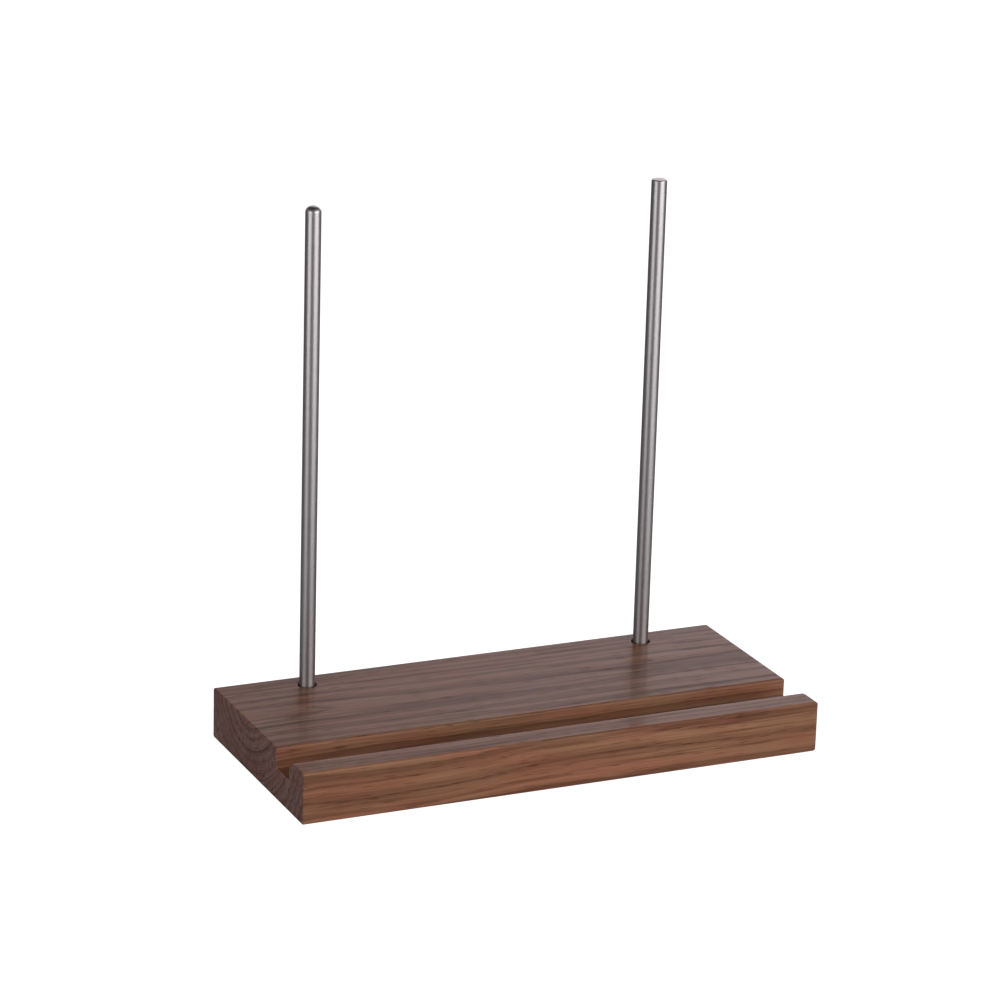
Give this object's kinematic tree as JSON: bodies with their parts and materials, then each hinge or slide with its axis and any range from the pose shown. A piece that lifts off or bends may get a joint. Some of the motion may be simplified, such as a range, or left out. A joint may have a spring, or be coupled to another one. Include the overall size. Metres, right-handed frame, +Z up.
{
  "type": "newspaper stand",
  "caption": "Desktop newspaper stand: a low wooden base with a paper slot behind its front lip, and upright steel rods near the back edge that the paper leans on.",
  "frame": {"origin": "middle of the footprint, on the surface the stand rests on", "axes": "+X along the slot to the right seen from the front, +Y from the lip to the back, +Z up along the rods"},
  "size_m": [0.21, 0.093, 0.2075],
  "materials": {
    "board": "dark walnut stain under satin lacquer",
    "rods": "fine brushed stainless",
    "inserts": "plain turned brass",
    "pads": "matt"
  },
  "bodies": {
    "base": {"base_block": "board", "insert_left": "inserts", "insert_right": "inserts", "pad_front_left": "pads", "pad_front_right": "pads", "pad_back_left": "pads", "pad_back_right": "pads"},
    "left_rod": {"rod_left": "rods"},
    "right_rod": {"rod_right": "rods"}
  },
  "joints": [
    {"name": "left_rod_lift", "type": "slide", "parent": "base", "child": "left_rod", "axis": [0, 0, 1], "range_m": [0, 0.02]},
    {"name": "right_rod_lift", "type": "slide", "parent": "base", "child": "right_rod", "axis": [0, 0, 1], "range_m": [0, 0.02]}
  ]
}
